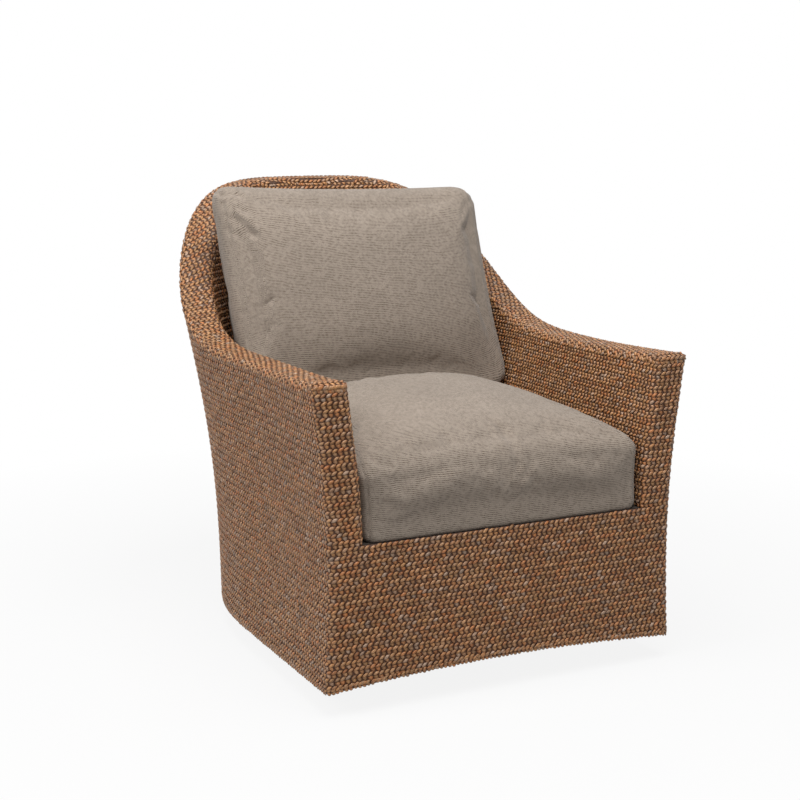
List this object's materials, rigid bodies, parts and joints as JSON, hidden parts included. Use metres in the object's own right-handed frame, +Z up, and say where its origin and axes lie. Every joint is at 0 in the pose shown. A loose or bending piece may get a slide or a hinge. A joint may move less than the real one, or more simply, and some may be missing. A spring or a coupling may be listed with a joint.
{
  "type": "swivel rocker",
  "caption": "Swivel rocking chair: a woven barrel shell with rounded arms and a high curved back, two loose cushions, and a hidden sprung rocker on a round turning base.",
  "frame": {"origin": "on the floor, under the middle of the whole chair's width and depth", "axes": "+Z up, the front of the chair faces -Y, and +X is the right side as seen from the front"},
  "size_m": [0.7958, 0.9878, 0.916],
  "materials": {
    "black_steel": "satin black powder coat",
    "grey_steel": "grey primer on pressed steel plate",
    "zinc_steel": "zinc plated",
    "spring_steel": "oiled spring wire",
    "cage_brass": "pressed sheet",
    "glide_plastic": "moulded",
    "bush_plastic": "moulded nylon",
    "stop_rubber": "moulded",
    "frame_wood": "sawn hardwood and board",
    "woven_skin": "plaited strands, brown with tan highlights, satin",
    "deck_fabric": "black webbing and dust cloth",
    "cushion_fabric": "woven slub, taupe"
  },
  "bodies": {
    "base": {"base_ring": "black_steel", "base_cross": "black_steel", "floor_glides": "glide_plastic", "lower_race": "zinc_steel", "kingpin": "zinc_steel", "kingpin_washer": "zinc_steel", "kingpin_nut": "zinc_steel"},
    "bearing_cage": {"ball_cage": "cage_brass", "bearing_balls": "zinc_steel"},
    "swivel": {"upper_race": "zinc_steel", "swivel_plate": "grey_steel", "pivot_bracket_left": "grey_steel", "pivot_bracket_right": "grey_steel", "bracket_rivets": "zinc_steel", "lower_spring_seats": "black_steel", "front_springs": "spring_steel", "rear_springs": "spring_steel", "pivot_pins": "zinc_steel", "pin_clips": "zinc_steel", "rubber_stops": "stop_rubber"},
    "rocker": {"rocker_arm_left": "grey_steel", "rocker_arm_right": "grey_steel", "pivot_bushes": "bush_plastic", "upper_spring_seats": "black_steel", "front_crossplate": "grey_steel", "rear_crossplate": "grey_steel", "mounting_bolts": "zinc_steel", "mounting_nuts": "zinc_steel", "front_bearer": "frame_wood", "rear_bearer": "frame_wood", "seat_rail_left": "frame_wood", "seat_rail_right": "frame_wood", "seat_rail_front": "frame_wood", "seat_rail_back": "frame_wood", "foot_board_left": "frame_wood", "foot_board_right": "frame_wood", "foot_board_front": "frame_wood", "foot_board_back": "frame_wood", "front_posts": "frame_wood", "side_ribs_left": "frame_wood", "side_ribs_right": "frame_wood", "back_ribs": "frame_wood", "arm_board_left": "frame_wood", "arm_board_right": "frame_wood", "back_board": "frame_wood", "seat_webbing": "deck_fabric", "deck_cloth": "deck_fabric", "outer_side_left": "woven_skin", "outer_side_right": "woven_skin", "outer_back": "woven_skin", "inner_side_left": "woven_skin", "inner_side_right": "woven_skin", "inner_back": "woven_skin", "arm_wrap_left": "woven_skin", "arm_wrap_right": "woven_skin", "back_wrap": "woven_skin", "front_panel": "woven_skin"},
    "seat_cushion": {"seat_cushion": "cushion_fabric"},
    "back_cushion": {"back_cushion": "cushion_fabric"}
  },
  "joints": [
    {"name": "swivel_turn", "type": "hinge", "parent": "base", "child": "swivel", "pos_m": [0, -0.08385, 0], "axis": [0, 0, 1], "continuous": true},
    {"name": "cage_turn", "type": "hinge", "parent": "base", "child": "bearing_cage", "pos_m": [0, -0.08385, 0], "axis": [0, 0, 1], "continuous": true},
    {"name": "rock", "type": "hinge", "parent": "swivel", "child": "rocker", "pos_m": [0, -0.08385, 0.12], "axis": [1, 0, 0], "range_deg": [-6, 6], "stiffness_Nm_per_rad": 900, "springref_deg": 2.97, "deforming": ["front_springs", "rear_springs"]},
    {"name": "seat_lift_out", "type": "slide", "parent": "rocker", "child": "seat_cushion", "axis": [0, -1, 0], "range_m": [0, 0.3]},
    {"name": "back_lift_off", "type": "slide", "parent": "rocker", "child": "back_cushion", "axis": [0, 0, 1], "range_m": [0, 0.3]}
  ],
  "couplings": [
    {"joint": "cage_turn", "follows": "swivel_turn", "ratio": 0.5}
  ]
}
